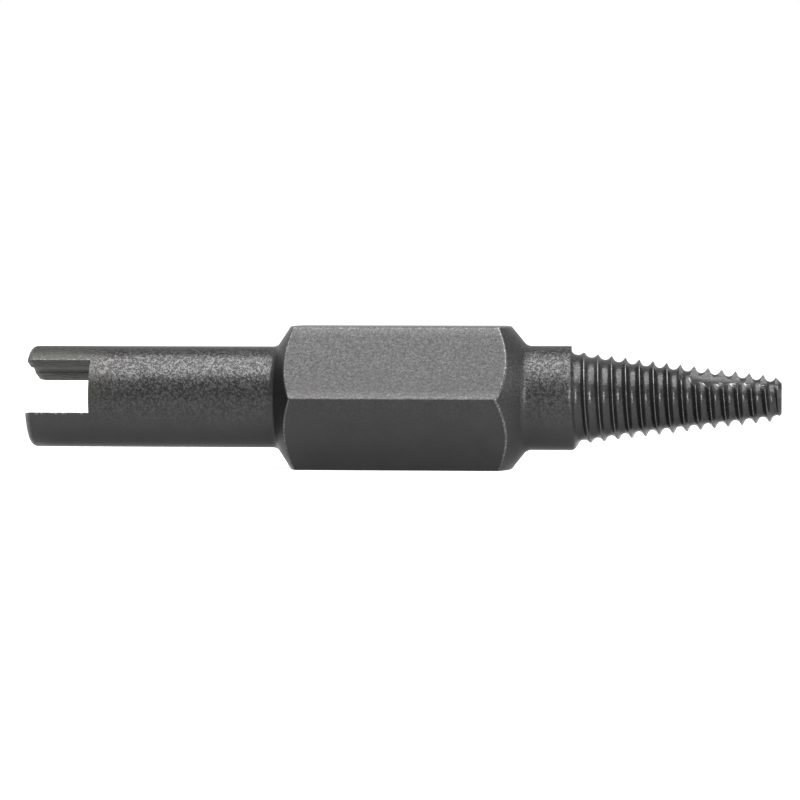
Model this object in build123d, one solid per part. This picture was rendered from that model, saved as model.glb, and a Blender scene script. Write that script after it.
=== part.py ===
"""Double-ended screw extractor bit, turned, threaded and milled from one piece of hardened steel.

A round shank with a slotted, bored end, a quarter-inch hexagon for the driver, a round collar,
and a tapered right-hand extractor thread with one milled flute, in that order along +X.
It lies on one flat of its hexagon: Z = 0 is that flat and X = 0 is half way along the bit.
"""
from build123d import *
from math import ceil, cos, pi, radians, sin, tan
import os

# Overall layout along the axis, in millimetres from the slotted end
SHANK_LENGTH = 11.79         # to where the flats of the hexagon begin
HEX_LENGTH = 9.83            # along the middle of a flat
COLLAR_LENGTH = 2.87         # from the end of a flat to the shoulder's corner
THREAD_LENGTH = 9.11         # from the shoulder's corner to the tip

# Shank
SHANK_DIAMETER = 4.52
END_ROUNDING = 0.30          # round the edge of the end face

# Slot and bore in the shank's end
SLOT_WIDTH = 2.40
SLOT_DEPTH = 2.95
SLOT_TURN = 15.5             # degrees that the slot is turned about the axis, away from level
BORE_DIAMETER = 2.60
BORE_DEPTH = 4.5             # to the end of its full diameter
DRILL_POINT = 118.0

# Hexagon
HEX_ACROSS_FLATS = 6.35
HEX_EDGE_RADIUS = 0.12
SHANK_CONE = 56.0            # degrees from the axis
COLLAR_CONE = 50.5
SHANK_FILLET = 0.40
COLLAR_FILLET = 0.45

# Collar
COLLAR_DIAMETER = 4.63
SHOULDER_ANGLE = 61.0        # degrees from the axis
SHOULDER_ROUNDING = 0.25

# Tapered thread, measured at the crests
THREAD_START_DIAMETER = 4.13  # where the shoulder's corner lies
THREAD_TAPER = 6.9            # half angle, degrees
THREAD_PITCH = 0.609
THREAD_DEPTH = 0.256
ROOT_WIDTH = 0.13
CREST_WIDTH = 0.03
FIRST_ROOT = 0.04             # from the shoulder's corner to the groove's middle, at the top
RUN_IN_TURNS = 2.0            # over which the groove sinks to its full depth
RUN_IN_BEFORE_TOP = 0.6       # of those turns, how many come before the first root at the top
RUN_IN_LIFT = 0.55            # how far clear of its full depth it starts
SECTIONS_PER_TURN = 5
TIP_CHAMFER = 0.32

# Flute
FLUTE_RADIUS = 0.88
FLUTE_FACING = 126.0          # degrees about the axis, from +Y towards +Z
FLUTE_CORE_RADIUS = 0.74      # what is left under the flute at the tip
FLUTE_RISE = 2.1              # degrees that its floor climbs away from the tip
FLUTE_STRAIGHT = 2.77         # from the tip to the start of the run-out
FLUTE_RUN_OUT_RADIUS = 4.9    # the milling cutter's
FLUTE_RUN_OUT_TURN = 50.0     # degrees that the cutter's path swings until it is clear

OVERSHOOT = 1.0               # how far cutting tools reach past the metal
FLANK_OVERSHOOT = 0.005       # how far the groove's flanks run on above the crests
CREST_CLEARANCE = 0.12        # how far the groove's cutter stands above the crests

hex_start = SHANK_LENGTH
hex_end = hex_start + HEX_LENGTH
collar_end = hex_end + COLLAR_LENGTH
tip = collar_end + THREAD_LENGTH
taper = tan(radians(THREAD_TAPER))


def crest_radius(x):
    """Radius of the thread's crests at a distance along the axis."""
    return THREAD_START_DIAMETER / 2 - (x - collar_end) * taper


def eased_outline(corners):
    """A face from corners and their radii, each radius followed by a smooth curve close to its arc."""
    with BuildSketch(Plane.XZ) as outline:
        with BuildLine():
            joins = []
            for i, (corner, radius) in enumerate(corners):
                here = Vector(*corner)
                back = (Vector(*corners[i - 1][0]) - here).normalized()
                ahead = (Vector(*corners[(i + 1) % len(corners)][0]) - here).normalized()
                turn = pi - radians(back.get_angle(ahead))
                reach = radius * tan(turn / 2)
                pull = reach - 4 / 3 * radius * tan(turn / 4)
                start = here + back * reach
                end = here + ahead * reach
                if radius:
                    Bezier(start, here + back * pull, here + ahead * pull, end)
                joins.append((start, end))
            for i, (start, _) in enumerate(joins):
                Line(joins[i - 1][1], start)
        make_face()
    return outline.sketch


def turned_blank():
    """The bit as it leaves the lathe, with the hexagon still a plain round."""
    shank = SHANK_DIAMETER / 2
    collar = COLLAR_DIAMETER / 2
    flat = HEX_ACROSS_FLATS / 2
    corner = flat / cos(radians(30)) + OVERSHOOT
    shank_slope = tan(radians(SHANK_CONE))
    collar_slope = tan(radians(COLLAR_CONE))
    shoulder_slope = tan(radians(SHOULDER_ANGLE))
    cone_start = collar_end + (collar - THREAD_START_DIAMETER / 2) / (shoulder_slope - taper)
    chamfer_start = tip - TIP_CHAMFER
    profile = eased_outline((
        ((0, 0), 0),
        ((0, shank), END_ROUNDING),
        ((hex_start - (flat - shank) / shank_slope, shank), SHANK_FILLET),
        ((hex_start + (corner - flat) / shank_slope, corner), 0),
        ((hex_end - (corner - flat) / collar_slope, corner), 0),
        ((hex_end + (flat - collar) / collar_slope, collar), COLLAR_FILLET),
        ((collar_end, collar), SHOULDER_ROUNDING),
        ((cone_start, crest_radius(cone_start)), 0),
        ((chamfer_start, crest_radius(chamfer_start)), 0),
        ((tip, crest_radius(chamfer_start) - TIP_CHAMFER), 0),
        ((tip, 0), 0),
    ))
    return revolve(profile, Axis.X)


def hexagon_prism():
    """The driver's hexagon as a bar the length of the bit, one flat downward."""
    with BuildSketch(Plane.YZ) as section:
        RegularPolygon(HEX_ACROSS_FLATS / 2, 6, major_radius=False)
        fillet(section.vertices(), HEX_EDGE_RADIUS)
    return extrude(section.sketch, tip)


def slot():
    """The open slot across the shank's end, square to the axis at its floor."""
    tool = Box(
        SLOT_DEPTH + OVERSHOOT,
        SHANK_DIAMETER + 2 * OVERSHOOT,
        SLOT_WIDTH,
        align=(Align.MAX, Align.CENTER, Align.CENTER),
    )
    return Pos(SLOT_DEPTH, 0, 0) * Rot(-SLOT_TURN, 0, 0) * tool


def bore():
    """The drilled hole up the middle of the slotted end, with the drill's point at its floor."""
    radius = BORE_DIAMETER / 2
    point = radius / tan(radians(DRILL_POINT / 2))
    with BuildSketch(Plane.XZ) as profile:
        Polygon(
            (-OVERSHOOT, 0),
            (-OVERSHOOT, radius),
            (BORE_DEPTH, radius),
            (BORE_DEPTH + point, 0),
            align=None,
        )
    return revolve(profile.sketch, Axis.X)


def groove_section(turn):
    """The thread groove's section, square to the taper, a number of turns from its start."""
    x = collar_end + FIRST_ROOT + (turn - RUN_IN_BEFORE_TOP) * THREAD_PITCH
    angle = radians(90) + 2 * pi * (turn - RUN_IN_BEFORE_TOP)
    lift = RUN_IN_LIFT * max(0, 1 - turn / RUN_IN_TURNS) ** 2
    floor_radius = crest_radius(x) - THREAD_DEPTH + lift
    slope = radians(THREAD_TAPER)
    half_top = (THREAD_PITCH / cos(slope) - CREST_WIDTH) / 2
    flank_end = THREAD_DEPTH + FLANK_OVERSHOOT
    half_width = half_top + (half_top - ROOT_WIDTH / 2) * FLANK_OVERSHOOT / THREAD_DEPTH
    clear = THREAD_DEPTH + CREST_CLEARANCE
    corners = []
    for along, out in (
        (-ROOT_WIDTH / 2, 0),
        (ROOT_WIDTH / 2, 0),
        (half_width, flank_end),
        (half_width, clear),
        (-half_width, clear),
        (-half_width, flank_end),
    ):
        radius = floor_radius - along * sin(slope) + out * cos(slope)
        distance = x + along * cos(slope) + out * sin(slope)
        corners.append((distance, radius * cos(angle), radius * sin(angle)))
    return Wire(Polyline(*corners, close=True).edges())


def thread_groove():
    """The whole groove, from clear of the collar to past the tip."""
    turns = (THREAD_LENGTH + OVERSHOOT) / THREAD_PITCH + RUN_IN_BEFORE_TOP
    count = ceil(turns * SECTIONS_PER_TURN)
    sections = [groove_section(i / SECTIONS_PER_TURN) for i in range(count + 1)]
    return Solid.make_loft(sections)


def flute():
    """The path of a round-nosed cutter that runs in from the tip and then climbs out."""
    rise = tan(radians(FLUTE_RISE))
    start = (tip + OVERSHOOT, FLUTE_CORE_RADIUS + FLUTE_RADIUS - OVERSHOOT * rise)
    climb = (tip - FLUTE_STRAIGHT, FLUTE_CORE_RADIUS + FLUTE_RADIUS + FLUTE_STRAIGHT * rise)
    swing = FLUTE_RUN_OUT_RADIUS - FLUTE_RADIUS
    lean = radians(FLUTE_RISE)
    turn = radians(FLUTE_RUN_OUT_TURN)
    middle = (climb[0] + swing * sin(lean), climb[1] + swing * cos(lean))
    halfway = (middle[0] - swing * sin(lean + turn / 2), middle[1] - swing * cos(lean + turn / 2))
    end = (middle[0] - swing * sin(lean + turn), middle[1] - swing * cos(lean + turn))
    with BuildPart() as cutter:
        with BuildLine(Plane.XZ) as path:
            Line(start, climb)
            ThreePointArc(climb, halfway, end)
        with BuildSketch(Plane(origin=path.line @ 0, z_dir=path.line % 0)):
            Circle(FLUTE_RADIUS)
        sweep()
    return Rot(FLUTE_FACING - 90, 0, 0) * cutter.part


bit = turned_blank() & hexagon_prism()
for cut in (slot(), bore(), thread_groove(), flute()):
    bit -= cut
bit = Pos(-tip / 2, 0, HEX_ACROSS_FLATS / 2) * bit

os.makedirs("parts", exist_ok=True)
export_step(bit, "parts/extractor_bit.step")
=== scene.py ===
"""A double-ended screw extractor bit of blackened steel, lying on one flat of its hexagon."""
from math import cos, hypot, pi, radians, sin, tan

import bpy
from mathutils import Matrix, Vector


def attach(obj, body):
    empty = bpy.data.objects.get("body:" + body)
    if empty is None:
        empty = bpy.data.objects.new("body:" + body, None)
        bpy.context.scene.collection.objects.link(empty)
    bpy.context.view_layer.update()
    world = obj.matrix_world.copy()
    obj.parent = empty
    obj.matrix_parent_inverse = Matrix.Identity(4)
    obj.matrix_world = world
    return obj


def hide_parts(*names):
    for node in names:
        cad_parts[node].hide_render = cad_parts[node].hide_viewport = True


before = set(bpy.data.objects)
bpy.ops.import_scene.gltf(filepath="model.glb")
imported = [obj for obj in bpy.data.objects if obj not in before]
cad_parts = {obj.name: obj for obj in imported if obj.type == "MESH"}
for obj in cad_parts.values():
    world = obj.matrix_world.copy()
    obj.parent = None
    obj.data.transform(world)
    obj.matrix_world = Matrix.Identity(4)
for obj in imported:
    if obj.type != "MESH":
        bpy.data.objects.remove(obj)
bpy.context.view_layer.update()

# The bar as the lathe leaves it
# A round shank, a hexagon and a collar are turned in a row, and the end beyond them is a long
# cone. This section draws the outline that the lathe follows, in millimetres from the slotted end.
MM = 0.001
LENGTH = 33.60
ACROSS_FLATS = 6.35
SHANK_RADIUS = 2.260
END_START = 0.045
END_ROUNDING = 0.30
HEX_START = 11.79
HEX_END = 21.62
SHANK_CONE = radians(56.0)
COLLAR_CONE = radians(50.5)
SHANK_FILLET = 0.40
COLLAR_FILLET = 0.45
COLLAR_RADIUS = 2.315
COLLAR_END = 24.42
COLLAR_EASING = 0.28
SHOULDER = radians(53.0)
CONE_RADIUS = 2.0735
TAPER = radians(6.9)
TIP_CHAMFER = 0.32
OVERSIZE = 1.2
HEX_CURVE_REACH = 0.62
FINE_STEP = 0.03
COARSE_STEP = 0.45
ARC_STEPS = 9


def arc(centre, radius, start, end, steps=ARC_STEPS):
    """Points of an arc, its angles measured in radians from along the axis towards outward."""
    turns = [start + (end - start) * i / steps for i in range(steps + 1)]
    return [(centre[0] + radius * cos(a), centre[1] + radius * sin(a)) for a in turns]


def eased(before, corner, after, radius):
    """The arc of a given radius that rounds off a corner between two points."""
    corner = Vector(corner)
    back = (Vector(before) - corner).normalized()
    ahead = (Vector(after) - corner).normalized()
    half = back.angle(ahead) / 2
    start = corner + back * (radius / tan(half))
    end = corner + ahead * (radius / tan(half))
    centre = corner + (back + ahead).normalized() * (radius / sin(half))
    points = []
    for i in range(ARC_STEPS + 1):
        toward = (start - centre).lerp(end - centre, i / ARC_STEPS).normalized()
        points.append(tuple(centre + toward * radius))
    return points


def divided(points, step_at):
    """The same outline with its long runs divided, so that the steps suit what is cut there."""
    result = [points[0]]
    for (x0, r0), (x1, r1) in zip(points, points[1:]):
        count = max(1, round(hypot(x1 - x0, r1 - r0) / step_at((x0 + x1) / 2, abs(x1 - x0))))
        for i in range(1, count + 1):
            result.append((x0 + (x1 - x0) * i / count, r0 + (r1 - r0) * i / count))
    return result


def cone_radius(x):
    """How far the thread's crests stand from the axis."""
    return CONE_RADIUS - (x - COLLAR_END) * tan(TAPER)


flat = ACROSS_FLATS / 2
over = flat / cos(radians(30)) + OVERSIZE
shank_corner = (HEX_START - (flat - SHANK_RADIUS) / tan(SHANK_CONE), SHANK_RADIUS)
shank_top = (HEX_START + (over - flat) / tan(SHANK_CONE), over)
collar_top = (HEX_END - (over - flat) / tan(COLLAR_CONE), over)
collar_corner = (HEX_END + (flat - COLLAR_RADIUS) / tan(COLLAR_CONE), COLLAR_RADIUS)
shoulder_foot = COLLAR_END + (COLLAR_RADIUS - CONE_RADIUS) / (tan(SHOULDER) - tan(TAPER))
foot = (shoulder_foot, cone_radius(shoulder_foot))
chamfer_start = LENGTH - TIP_CHAMFER
end_flat = SHANK_RADIUS - END_ROUNDING

outline = [(END_START, 0.0), (END_START, end_flat / 2)]
outline += arc((END_START + END_ROUNDING, end_flat), END_ROUNDING, pi, pi / 2)
outline += eased(outline[-1], shank_corner, shank_top, SHANK_FILLET)
outline += [shank_top, collar_top]
outline += eased(collar_top, collar_corner, (COLLAR_END, COLLAR_RADIUS), COLLAR_FILLET)
outline += eased(collar_corner, (COLLAR_END, COLLAR_RADIUS), foot, COLLAR_EASING)
outline += [foot, (chamfer_start, cone_radius(chamfer_start))]
outline += [(LENGTH, cone_radius(chamfer_start) - TIP_CHAMFER), (LENGTH, 0.0)]


def lathe_step(x, run):
    """Fine steps where the hexagon's ends curve, and coarse ones elsewhere."""
    near_curve = min(abs(x - HEX_START), abs(x - HEX_END)) < HEX_CURVE_REACH + run / 2
    on_flats = run > HEX_END - HEX_START - 2 * HEX_CURVE_REACH
    return FINE_STEP if near_curve and not on_flats else COARSE_STEP


outline = divided(outline, lathe_step)

# The hexagon, the thread, the flute, the slot and the bore
# One tree of nodes follows the shop's order. It spins the outline and flattens six sides, winds
# the groove's section down the cone, mills the flute and the slot, and drills the slotted end.
COLUMNS = 192
CROWDING = 0.125
HEX_EASING = 0.085
PITCH = 0.609
GROOVE_DEPTH = 0.256
CREST_WIDTH = 0.03
GROOVE_FLANK = radians(33.0)
FIRST_ROOT = 24.53
TURNS_BEFORE_TOP = 0.6
RUN_IN_TURNS = 0.8
RUN_IN_LIFT = 0.60
SHALLOW_TURNS = 5.0
SHALLOW_LIFT = 0.12
GROOVE_STEPS = 84
CUTTER_CLEARANCE = 0.40
OVERRUN = 1.0
FLUTE_RADIUS = 1.80
FLUTE_FACING = radians(126.0)
FLUTE_CORE = 0.816
FLUTE_RISE = radians(3.8)
FLUTE_STRAIGHT = 2.77
FLUTE_RUN_OUT = 4.9
FLUTE_SWING = radians(50.0)
SLOT_WIDTH = 2.40
SLOT_DEPTH = 2.95
SLOT_TURN = radians(15.5)
BORE_RADIUS = 1.30
BORE_DEPTH = 4.5
DRILL_POINT = radians(118.0)
SAW_REACH = 7.2
BALL_SIDES = 64
DRILL_SIDES = 96
WELD = 0.0005
AT_AXIS = 0.01

half_top = (PITCH / cos(TAPER) - CREST_WIDTH) / 2
groove_top = GROOVE_DEPTH + CUTTER_CLEARANCE
drop = half_top - GROOVE_DEPTH * tan(GROOVE_FLANK)
root_radius = drop / (cos(GROOVE_FLANK) - (1 - sin(GROOVE_FLANK)) * tan(GROOVE_FLANK))
groove = arc((0.0, root_radius), root_radius, pi + GROOVE_FLANK, 2 * pi - GROOVE_FLANK)
groove += [(half_top, GROOVE_DEPTH), (half_top, groove_top)]
groove += [(-half_top, groove_top), (-half_top, GROOVE_DEPTH)]
# Tilted to stand square to the cone: outward first, then back along the axis
groove_section = [
    (out * cos(TAPER) - along * sin(TAPER), -along * cos(TAPER) - out * sin(TAPER))
    for along, out in groove
]
groove_turns = (LENGTH + OVERRUN - FIRST_ROOT) / PITCH + TURNS_BEFORE_TOP
groove_start = FIRST_ROOT - TURNS_BEFORE_TOP * PITCH
groove_end = groove_start + groove_turns * PITCH

swing = FLUTE_RUN_OUT - FLUTE_RADIUS
climb = (LENGTH - FLUTE_STRAIGHT, FLUTE_CORE + FLUTE_RADIUS + FLUTE_STRAIGHT * tan(FLUTE_RISE))
flute_start = (LENGTH + OVERRUN, FLUTE_CORE + FLUTE_RADIUS - OVERRUN * tan(FLUTE_RISE))
turning_point = (climb[0] + swing * sin(FLUTE_RISE), climb[1] + swing * cos(FLUTE_RISE))
run_out = arc(
    turning_point,
    swing,
    -pi / 2 - FLUTE_RISE,
    -pi / 2 - FLUTE_RISE - FLUTE_SWING,
    4 * ARC_STEPS,
)
flute_path = divided([flute_start, climb], lambda x, run: COARSE_STEP) + run_out[1:]


def drawing(name, points, closed=False):
    """A bare line of points that a tree of nodes turns, sweeps or cuts with."""
    mesh = bpy.data.meshes.new(name)
    links = [(i, i + 1) for i in range(len(points) - 1)]
    if closed:
        links.append((len(points) - 1, 0))
    mesh.from_pydata([(p[0], p[1], 0.0) for p in points], links, [])
    drawn = bpy.data.objects.new(name, mesh)
    bpy.context.scene.collection.objects.link(drawn)
    return drawn


class Value:
    """A socket that takes part in Python expressions: each operator adds its Math node."""

    def __init__(self, tree, socket):
        self.tree = tree
        self.socket = socket

    def math(self, operation, *others):
        return self.tree.node("ShaderNodeMath", {"operation": operation}, [self, *others])

    def out(self, name):
        return Value(self.tree, self.socket.node.outputs[name])

    def __add__(self, other):
        return self.math("ADD", other)

    def __sub__(self, other):
        return self.math("SUBTRACT", other)

    def __mul__(self, other):
        return self.math("MULTIPLY", other)

    def __truediv__(self, other):
        return self.math("DIVIDE", other)

    def __radd__(self, other):
        return self.math("ADD", other)

    def __rmul__(self, other):
        return self.math("MULTIPLY", other)

    def __rsub__(self, other):
        return self.tree.node("ShaderNodeMath", {"operation": "SUBTRACT"}, [other, self])


class Tree:
    """A tree of nodes, with one method that adds a node of any type."""

    def __init__(self, group):
        self.group = group

    def node(self, kind, settings=None, values=()):
        made = self.group.nodes.new(kind)
        for name, setting in (settings or {}).items():
            setattr(made, name, setting)
        pairs = values.items() if isinstance(values, dict) else enumerate(values)
        for key, value in pairs:
            if isinstance(key, int):
                socket = made.inputs[key]
            else:
                socket = next(s for s in made.inputs if s.name == key and s.enabled)
            for part in value if isinstance(value, list) else [value]:
                if isinstance(part, Value):
                    self.group.links.new(part.socket, socket)
                elif part is not None:
                    socket.default_value = part
        shown = [s for s in made.outputs if s.enabled]
        return Value(self, shown[0]) if shown else made


group = bpy.data.node_groups.new("Turn, thread and mill the bit", "GeometryNodeTree")
shop = Tree(group)


def named_input(name, kind):
    """Adds an input to the tree, and gives the identifier that a modifier knows it by."""
    full_kind = "NodeSocket" + kind
    return group.interface.new_socket(name=name, in_out="INPUT", socket_type=full_kind).identifier


settings = {
    "Lathe outline": None,
    "Columns": COLUMNS,
    "Crowding at the corners": CROWDING,
    "Across flats": ACROSS_FLATS,
    "Hexagon easing": HEX_EASING,
    "Groove section": drawing("groove_section", groove_section, closed=True),
    "Groove steps": GROOVE_STEPS,
    "Groove turns": groove_turns,
    "Groove length": groove_end - groove_start,
    "Groove start": groove_start,
    "Groove depth": GROOVE_DEPTH,
    "Start root radius": cone_radius(groove_start) - GROOVE_DEPTH,
    "End root radius": cone_radius(groove_end) - GROOVE_DEPTH,
    "Run-in turns": RUN_IN_TURNS,
    "Run-in lift": RUN_IN_LIFT,
    "Shallow turns": SHALLOW_TURNS,
    "Shallow lift": SHALLOW_LIFT,
    "Turns before the top": TURNS_BEFORE_TOP,
    "Flute path": drawing("flute_path", flute_path),
    "Flute radius": FLUTE_RADIUS,
    "Flute facing": FLUTE_FACING - pi / 2,
    "Slot width": SLOT_WIDTH,
    "Slot depth": SLOT_DEPTH,
    "Slot turn": SLOT_TURN,
    "Bore radius": BORE_RADIUS,
    "Bore depth": BORE_DEPTH,
    "Drill point": BORE_RADIUS / tan(DRILL_POINT / 2),
    "Length": LENGTH,
    "Steel": None,
}
kinds = {
    "Lathe outline": "Geometry",
    "Columns": "Int",
    "Groove steps": "Int",
    "Groove section": "Object",
    "Flute path": "Object",
    "Steel": "Material",
}
identifiers = {name: named_input(name, kinds.get(name, "Float")) for name in settings}
group.interface.new_socket(name="Bit", in_out="OUTPUT", socket_type="NodeSocketGeometry")
given_node = group.nodes.new("NodeGroupInput")


def given(name):
    return Value(shop, given_node.outputs[name])


def vector(x, y, z):
    return shop.node("ShaderNodeCombineXYZ", values=[x, y, z])


def parts_of(vectors):
    split = shop.node("ShaderNodeSeparateXYZ", values=[vectors])
    return split, split.out("Y"), split.out("Z")


def placed(geometry, position):
    return shop.node("GeometryNodeSetPosition", values={"Geometry": geometry, "Position": position})


def drawn_curve(name):
    drawn = shop.node("GeometryNodeObjectInfo", values={"Object": given(name)}).out("Geometry")
    return shop.node("GeometryNodeMeshToCurve", values=[drawn])


def swept(path, section):
    upright = shop.node("GeometryNodeSetCurveNormal", {"mode": "Z_UP"}, [path])
    return shop.node(
        "GeometryNodeCurveToMesh",
        values={"Curve": upright, "Profile Curve": section, "Fill Caps": True},
    )


def turned_over(geometry, angle):
    turn = vector(angle, 0.0, 0.0)
    return shop.node("GeometryNodeTransform", values={"Geometry": geometry, "Rotation": turn})


position = shop.node("GeometryNodeInputPosition")
index = shop.node("GeometryNodeInputIndex")

# Spinning the outline, with more columns near the hexagon's corners
rows = shop.node("GeometryNodeAttributeDomainSize", values=[given("Lathe outline")])
across = given("Columns") + 1
sheet = shop.node("GeometryNodeMeshGrid", values={"Vertices X": rows, "Vertices Y": across})
row = (index / across).math("FLOOR")
turn = (index - row * across) * (2 * pi) / given("Columns")
angle = turn - given("Crowding at the corners") * (turn * 6).math("SINE")
point = shop.node(
    "GeometryNodeSampleIndex",
    {"data_type": "FLOAT_VECTOR"},
    {"Geometry": given("Lathe outline"), "Value": position, "Index": row},
)
along, out, _ = parts_of(point)
sixth = pi / 3
off_flat = (angle.math("FLOORED_MODULO", sixth) - sixth / 2).math("ABSOLUTE")
flat_out = given("Across flats") / 2
this_side = flat_out / off_flat.math("COSINE")
next_side = flat_out / (sixth - off_flat).math("COSINE")
sides = this_side.math("SMOOTH_MIN", next_side, given("Hexagon easing"))
radius = out.math("SMOOTH_MIN", sides, given("Hexagon easing"))
spun = placed(sheet, vector(along, radius * angle.math("COSINE"), radius * angle.math("SINE")))
blank = shop.node("GeometryNodeMergeByDistance", values={"Geometry": spun, "Distance": WELD})

# Winding the groove down the cone: it starts clear of the metal and sinks in within a turn
spiral = shop.node(
    "GeometryNodeCurveSpiral",
    values={
        "Resolution": given("Groove steps"),
        "Rotations": given("Groove turns"),
        "Start Radius": given("Start root radius"),
        "End Radius": given("End root radius"),
        "Height": given("Groove length"),
        "Reverse": True,
    },
)
short_of_depth = (1 - index / given("Groove steps") / given("Run-in turns")).math("MAXIMUM", 0.0)
lift = given("Run-in lift") * short_of_depth * short_of_depth
x, y, z = parts_of(position)
from_axis = (x * x + y * y).math("SQRT")


def pushed_out(geometry, distance):
    """The same shape with each of its points moved away from the axis."""
    reached = from_axis + distance
    return placed(geometry, vector(x * reached / from_axis, y * reached / from_axis, z))


wound = swept(pushed_out(spiral, lift), drawn_curve("Groove section"))
# The first turns have sharp crests too, but shallower roots
wound_share = z / given("Groove length")
widening = given("End root radius") - given("Start root radius")
out_of_root = from_axis - given("Start root radius") - widening * wound_share
below_crest = (1 - (out_of_root / given("Groove depth")).math("MAXIMUM", 0.0)).math("MAXIMUM", 0.0)
shallow = (1 - wound_share * given("Groove turns") / given("Shallow turns")).math("MAXIMUM", 0.0)
wound = pushed_out(wound, given("Shallow lift") * shallow * below_crest)
lead = (0.25 - given("Turns before the top")) * (2 * pi)
wound = placed(wound, vector(z + given("Groove start"), x, y))
groove_cutter = turned_over(wound, lead)

# Milling the flute from the tip, then the slot
ball = shop.node("GeometryNodeCurvePrimitiveCircle", values=[BALL_SIDES])
nose = given("Flute radius")
nose_size = vector(nose, nose, nose)
ball = shop.node("GeometryNodeTransform", values={"Geometry": ball, "Scale": nose_size})
channel = swept(drawn_curve("Flute path"), ball)
channel = placed(channel, vector(x, 0.0 - z, y))
flute_cutter = turned_over(channel, given("Flute facing"))
saw_size = vector(given("Slot depth") + OVERRUN, SAW_REACH, given("Slot width"))
saw = shop.node("GeometryNodeMeshCube", values={"Size": saw_size})
saw = placed(saw, vector(x + (given("Slot depth") - OVERRUN) / 2, y, z))
saw_cutter = turned_over(saw, 0.0 - given("Slot turn"))

# Drilling the end
drill = shop.node(
    "GeometryNodeMeshCylinder",
    {"fill_type": "TRIANGLE_FAN"},
    {
        "Vertices": DRILL_SIDES,
        "Radius": given("Bore radius"),
        "Depth": given("Bore depth") + OVERRUN,
    },
)
on_axis = (x * x + y * y).math("LESS_THAN", AT_AXIS)
point_out = on_axis * z.math("GREATER_THAN", 0.0) * given("Drill point")
drill_cutter = placed(drill, vector(z + (given("Bore depth") - OVERRUN) / 2 + point_out, x, y))

cutters = [groove_cutter, flute_cutter, saw_cutter, drill_cutter]
cut = shop.node(
    "GeometryNodeMeshBoolean",
    {"operation": "DIFFERENCE", "solver": "EXACT"},
    {"Mesh 1": blank, "Mesh 2": cutters},
)
metres = vector((x - given("Length") / 2) * MM, y * MM, (z + given("Across flats") / 2) * MM)
laid_down = placed(cut, metres)
real = shop.node("GeometryNodeRealizeInstances", values=[laid_down])
finished = shop.node(
    "GeometryNodeSetMaterial", values={"Geometry": real, "Material": given("Steel")}
)
shop.node("NodeGroupOutput", values=[finished])

# The blackened steel
# Hardened tool steel with a mottled black oxide skin, and paler metal where the thread's crests,
# the flute's lower edge, the hexagon's end curves and the fork's end have lost that skin. The same
# pale colour is also a painted highlight on the hexagon's upper long edges, the flute's lower edge
# and the fork's end.
BLACK = (0.012, 0.0117, 0.0118, 1.0)
GREY_BLACK = (0.066, 0.0643, 0.0648, 1.0)
# Pale bare metal, also the colour of the painted highlights on edges
BARE_METAL_AND_HIGHLIGHT = (0.20, 0.20, 0.195, 1.0)
DARK_OLIVE = (0.022, 0.0226, 0.0198, 1.0)
PALE_OLIVE = (0.064, 0.0658, 0.0578, 1.0)
EDGE_SHEEN = (0.6, 0.6, 0.6, 1.0)
SKIN_METAL = 0.78

steel = bpy.data.materials.new("blackened_steel")
steel.use_nodes = True
steel.node_tree.nodes.clear()
finish = Tree(steel.node_tree)
where = finish.node("ShaderNodeTexCoord").out("Object")
where_mm = finish.node(
    "ShaderNodeVectorMath", {"operation": "SCALE"}, {"Vector": where, "Scale": 1 / MM}
)
split = finish.node("ShaderNodeSeparateXYZ", values=[where_mm])
along = split + LENGTH / 2
across = split.out("Y")
up = split.out("Z") - flat
radius = (across * across + up * up).math("SQRT")
angle = up.math("ARCTAN2", across)


def noise(scale, detail, stretch=None):
    """Noise with a given number of spots to the millimetre."""
    spot = where_mm
    if stretch:
        spot = finish.node("ShaderNodeVectorMath", {"operation": "MULTIPLY"}, [where_mm, stretch])
    spotted = {"Vector": spot, "Scale": scale, "Detail": detail}
    return finish.node("ShaderNodeTexNoise", values=spotted)


def ramp(value, low, high):
    """0 below low, 1 above high and a soft step between them."""
    return finish.node(
        "ShaderNodeMapRange",
        {"interpolation_type": "SMOOTHSTEP"},
        {"Value": value, "From Min": low, "From Max": high},
    )


def near(distance, width):
    """1 where a distance is nothing, falling to 0 at a given width."""
    return (1 - distance.math("ABSOLUTE") / width).math("MAXIMUM", 0.0)


def blend(factor, first, second):
    mixed = {"Factor": factor, "A": first, "B": second}
    return finish.node("ShaderNodeMix", {"data_type": "RGBA"}, mixed)


FLECK_LEVELS = (0.50, 0.66)
grain = noise(scale=9.0, detail=3.0)
patches = noise(scale=0.9, detail=4.0)
flecks = ramp(noise(scale=11.0, detail=2.0), *FLECK_LEVELS)

# The hexagon's upper long edges, paler as a painted highlight, and the worn curves at its ends
EDGE_BAND = 0.08
LONG_EDGE_BAND = 0.45
# A painted highlight along the upper long edges, in the pale metal's colour
LONG_EDGE_HIGHLIGHT = 0.16
CURVE_WEAR = 0.8
off_flat = (angle.math("FLOORED_MODULO", sixth) - sixth / 2).math("ABSOLUTE")
on_flat = near(flat - radius * off_flat.math("COSINE"), EDGE_BAND)
below_next = flat - radius * (sixth - off_flat).math("COSINE")
shank_cone = (along - HEX_START) * tan(SHANK_CONE)
collar_cone = (HEX_END - along) * tan(COLLAR_CONE)
on_cone = near(shank_cone.math("MINIMUM", collar_cone) + flat - radius, EDGE_BAND)
# Only the edges above the axis, where the lamps catch them: a painted highlight
lit_long_edge = near(below_next, LONG_EDGE_BAND) * ramp(up, 0.0, 0.1)
long_edge_highlight = LONG_EDGE_HIGHLIGHT * lit_long_edge * (0.4 + flecks)
hexagon_wear_and_highlight = on_flat * (long_edge_highlight + CURVE_WEAR * on_cone * (0.3 + flecks))

# The thread's worn crests, and the flute's lower edge where it climbs the flanks that face the tip
# (bare metal there, with a painted highlight on the side the lamps light)
CREST_BAND = 0.035
FLUTE_BAND = (0.004, 0.036)
FLANK_WIDENING = 1.6
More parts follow.
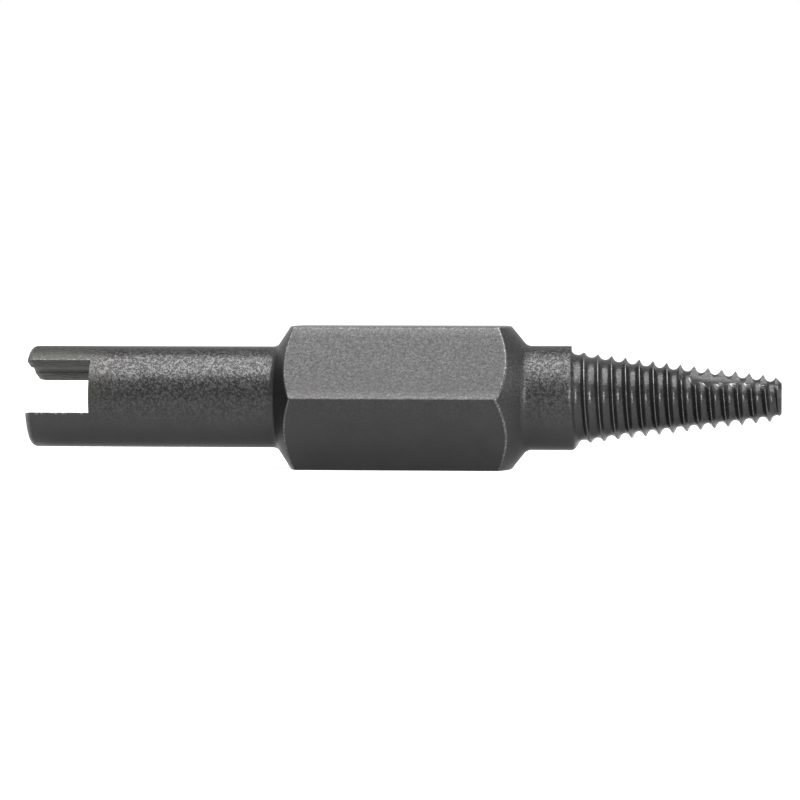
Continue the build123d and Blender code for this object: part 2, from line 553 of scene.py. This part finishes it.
# Where on the flank that faces the tip, in shares of a turn from the root's middle
FLANK_START = (0.02, 0.10)
FLANK_CLIMB = (0.08, 0.32)
FLANK_END = (0.48, 0.54)
threaded = ramp(along, COLLAR_END, COLLAR_END + 0.2)
crest_wear = threaded * near(cone_radius(along) - radius, CREST_BAND) * (0.18 + 0.25 * flecks)
toward = across * cos(FLUTE_FACING) + up * sin(FLUTE_FACING)
aside = up * cos(FLUTE_FACING) - across * sin(FLUTE_FACING)
straight_axis = FLUTE_CORE + FLUTE_RADIUS + (LENGTH - along) * tan(FLUTE_RISE)
from_turn = (along - turning_point[0], toward - turning_point[1])
curved_off = swing - (from_turn[0] * from_turn[0] + from_turn[1] * from_turn[1]).math("SQRT")
in_straight = along.math("GREATER_THAN", LENGTH - FLUTE_STRAIGHT)
off_axis = in_straight * (toward - straight_axis) + (1 - in_straight) * curved_off
from_flute = (off_axis * off_axis + aside * aside).math("SQRT") - FLUTE_RADIUS
turns = (along - FIRST_ROOT) / PITCH - (angle - pi / 2) / (2 * pi)
from_root = turns.math("FLOORED_MODULO", 1.0)
widened = 1 + FLANK_WIDENING * ramp(from_root, *FLANK_CLIMB)
outside_flute = ramp(from_flute, FLUTE_BAND[0] / 2, FLUTE_BAND[0])
flute_edge = outside_flute * near(from_flute / widened, FLUTE_BAND[1])
tip_flank = ramp(from_root, *FLANK_START) * (1 - ramp(from_root, *FLANK_END))
# Bare metal and a painted highlight along the flute's lower edge on the flanks facing the tip
flute_edge_wear_and_highlight = threaded * flute_edge * ramp(aside, 0.0, 0.1) * tip_flank

# The sawn slot's rough walls, the nicks along its edges, and the fork's end, rubbed and also
# painted pale as a highlight, as if lit from the left
WALL_BAND = 0.03
NICK_BAND = 0.09
SAW_STRETCH = (0.35, 1.0, 1.0)
UPPER_FADE = (-0.6, 0.6)
from_middle = (across * sin(SLOT_TURN) + up * cos(SLOT_TURN)).math("ABSOLUTE")
in_slot = 1 - ramp(along, SLOT_DEPTH, SLOT_DEPTH + 0.05)
off_wall = from_middle - SLOT_WIDTH / 2
inside_skin = 1 - ramp(radius, SHANK_RADIUS - 0.03, SHANK_RADIUS - 0.01)
on_wall = in_slot * near(off_wall, WALL_BAND) * inside_skin
on_side = ramp(radius, SHANK_RADIUS - 0.06, SHANK_RADIUS - 0.03)
upper_side = ramp(up, *UPPER_FADE)
slot_wear = in_slot * on_side * near(off_wall, NICK_BAND) * flecks * (1.6 - upper_side)
# The fork's end: rubbed metal and a painted highlight, paler all round its rounding
end_wear_and_highlight = (1 - ramp(along, END_START, END_START + END_ROUNDING)) * (0.4 + 0.4 * flecks)
saw_marks = noise(scale=5.0, detail=4.0, stretch=SAW_STRETCH)

# The skin's mottling, strongest on the turned parts and faint on flats; painted stronger on top
# and faint underneath, as painted glints
MEAN_LEVEL = 0.28
MEAN_MOTTLE = 0.37
MOTTLE_LEVELS = (0.38, 0.68)
MOTTLE_DEPTH = 1.3
PATCH_DEPTH = 0.15
TURNED_LIFT = 0.03
CALMED = 0.6
CALM_FORK = (2.2, 4.2)
FLAT_SHARE = 0.3
# From underneath to the top the mottling grows: painted glints where the overhead lamp falls
GLINT_TOP_FADE = (-2.0, 2.0)
before_hexagon = 1 - ramp(along, HEX_START - 1.0, HEX_START - 0.5)
turned = before_hexagon + ramp(along, HEX_END + 0.5, HEX_END + 1.0)
spots = 0.5 * noise(scale=7.5, detail=3.0) + 0.5 * noise(scale=17.0, detail=1.0)
mottle = ramp(spots, *MOTTLE_LEVELS)
calm = (1 - CALMED * threaded) * (1 - CALMED * (1 - ramp(along, *CALM_FORK)))
mottle_and_glint_share = (FLAT_SHARE + (1 - FLAT_SHARE) * turned) * ramp(up, *GLINT_TOP_FADE) * calm
mottling_and_glints = MOTTLE_DEPTH * mottle_and_glint_share * (mottle - MEAN_MOTTLE)
level = MEAN_LEVEL + TURNED_LIFT * turned + mottling_and_glints + PATCH_DEPTH * (patches - 0.5)

# Colour, metal and roughness together, with the olive tone of the upper prong
OLIVE_SHARE = 0.8
OLIVE_FADE = (1.2, 4.6)
GRAIN_STRENGTH = 0.6
GRAIN_HEIGHT = 0.02 * MM
SAW_MARK_HEIGHT = 0.12 * MM
# Real wear and painted highlights together, each mixing the skin towards the pale metal
wear_and_highlights = (hexagon_wear_and_highlight + crest_wear + flute_edge_wear_and_highlight + slot_wear + end_wear_and_highlight).math("MINIMUM", 1.0)
upper_prong = (1 - ramp(along, *OLIVE_FADE)) * upper_side
skin = blend(level, BLACK, GREY_BLACK)
skin = blend(upper_prong * OLIVE_SHARE, skin, blend(level, DARK_OLIVE, PALE_OLIVE))
colour = blend(wear_and_highlights, skin, BARE_METAL_AND_HIGHLIGHT)
metal = SKIN_METAL + (1 - SKIN_METAL) * wear_and_highlights
on_collar = ramp(along, HEX_END, HEX_END + 0.3) * (1 - threaded)
roughness = 0.26 + 0.10 * patches + 0.12 * wear_and_highlights + 0.18 * on_wall + 0.16 * upper_prong
roughness = roughness + 0.06 * on_collar - 0.04 * threaded


def bump(strength, distance, height, under=None):
    """The surface's direction with fine relief of a given height, on top of other relief."""
    relief = {"Strength": strength, "Distance": distance, "Height": height, "Normal": under}
    return finish.node("ShaderNodeBump", values=relief)


fine = bump(GRAIN_STRENGTH, GRAIN_HEIGHT, grain)
sawn = bump(on_wall, SAW_MARK_HEIGHT, saw_marks, fine)
surface = finish.node(
    "ShaderNodeBsdfPrincipled",
    values={
        "Base Color": colour,
        "Metallic": metal,
        "Roughness": roughness,
        "Specular Tint": EDGE_SHEEN,
        "Normal": sawn,
    },
)
finish.node("ShaderNodeOutputMaterial", values={"Surface": surface})

# The finished bit, a plain mesh that is shaded smooth between its sharp corners
SHARP_ABOVE = radians(35.0)
bit = drawing("screw_extractor_bit", outline)
maker = bit.modifiers.new("Cut the bit", "NODES")
maker.node_group = group
settings["Steel"] = steel
for name, setting in settings.items():
    if setting is not None:
        maker[identifiers[name]] = setting
bpy.context.view_layer.update()
made = bpy.data.meshes.new_from_object(bit.evaluated_get(bpy.context.evaluated_depsgraph_get()))
bit.modifiers.clear()
bit.data = made
for tool in (settings["Groove section"], settings["Flute path"]):
    bpy.data.objects.remove(tool)
made.shade_smooth()
made.set_sharp_from_angle(angle=SHARP_ABOVE)
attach(bit, "root")
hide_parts("extractor_bit")

# The floor and the studio
# A plain white floor that keeps a faint shadow, a long soft lamp overhead, weak ones in front and
# at the tip's side, and a small bright one at the right front that glints in the thread's roots.
FLOOR_SIZE = 4.0
PAPER = (0.38, 0.38, 0.38, 1.0)
PAPER_GLOW = 0.92
WHITE = (1.0, 1.0, 1.0, 1.0)
AIR_LIGHT = 0.45
floor_mesh = bpy.data.meshes.new("floor")
reach = FLOOR_SIZE / 2
floor_corners = [(-reach, -reach, 0), (reach, -reach, 0), (reach, reach, 0), (-reach, reach, 0)]
floor_mesh.from_pydata(floor_corners, [], [(0, 1, 2, 3)])
floor = bpy.data.objects.new("floor", floor_mesh)
bpy.context.scene.collection.objects.link(floor)
paper = bpy.data.materials.new("white_paper")
paper.use_nodes = True
paper.node_tree.nodes.clear()
stage = Tree(paper.node_tree)


def seen_directly(tree):
    """1 for rays that show the background itself: straight, mirrored or through glass."""
    rays = tree.node("ShaderNodeLightPath")
    return (rays + rays.out("Is Glossy Ray") + rays.out("Is Transmission Ray")).math("MINIMUM", 1.0)


matt = stage.node("ShaderNodeBsdfDiffuse", values={"Color": PAPER})
glow = stage.node("ShaderNodeEmission", values={"Strength": seen_directly(stage) * PAPER_GLOW})
both = stage.node("ShaderNodeAddShader", values=[matt, glow])
stage.node("ShaderNodeOutputMaterial", values={"Surface": both})
floor_mesh.materials.append(paper)

world = bpy.data.worlds.new("studio")
bpy.context.scene.world = world
world.use_nodes = True
world.node_tree.nodes.clear()
sky = Tree(world.node_tree)
brightness = AIR_LIGHT + (1 - AIR_LIGHT) * seen_directly(sky)
air = sky.node("ShaderNodeBackground", values={"Color": WHITE, "Strength": brightness})
sky.node("ShaderNodeOutputWorld", values={"Surface": air})

middle = Vector((0.0, 0.0, ACROSS_FLATS / 2 * MM))


def lamp(name, place, size, radiance):
    """A soft rectangular lamp of a given brightness, pointed at the bit."""
    light = bpy.data.lights.new(name, "AREA")
    light.shape = "RECTANGLE"
    light.size, light.size_y = size
    light.energy = radiance * pi * size[0] * size[1]
    held = bpy.data.objects.new(name, light)
    held.location = place
    held.rotation_euler = (middle - Vector(place)).to_track_quat("-Z", "Y").to_euler()
    bpy.context.scene.collection.objects.link(held)


lamp("overhead", place=(0.0, -0.036, 0.16), size=(0.26, 0.178), radiance=8.2)
lamp("front", place=(0.0, -0.30, 0.13), size=(0.44, 0.17), radiance=0.6)
lamp("right_front", place=(0.172, -0.246, 0.050), size=(0.08, 0.098), radiance=30.0)
lamp("right", place=(0.28, 0.0, 0.09), size=(0.20, 0.16), radiance=2.6)

# The camera
# A long lens a little above the bit and a little towards its tip. A pixel of the picture covers
# SCALE_MM millimetres at the point it aims at.
SCALE_MM = 0.04452
DISTANCE = 0.225
YAW = radians(6.3)
RISE = radians(2.0)
AIM = (-0.00016, 0.0, 0.003063)
PICTURE_WIDTH = 800
camera = bpy.data.cameras.new("camera")
camera.sensor_width = 36.0
camera.lens = DISTANCE / MM / SCALE_MM / PICTURE_WIDTH * camera.sensor_width
camera.clip_start = 0.01
viewer = bpy.data.objects.new("camera", camera)
away = Vector((cos(RISE) * sin(YAW), -cos(RISE) * cos(YAW), sin(RISE)))
viewer.location = Vector(AIM) + away * DISTANCE
viewer.rotation_euler = (-away).to_track_quat("-Z", "Y").to_euler()
bpy.context.scene.collection.objects.link(viewer)
bpy.context.scene.camera = viewer
bpy.context.scene.view_settings.view_transform = "Standard"
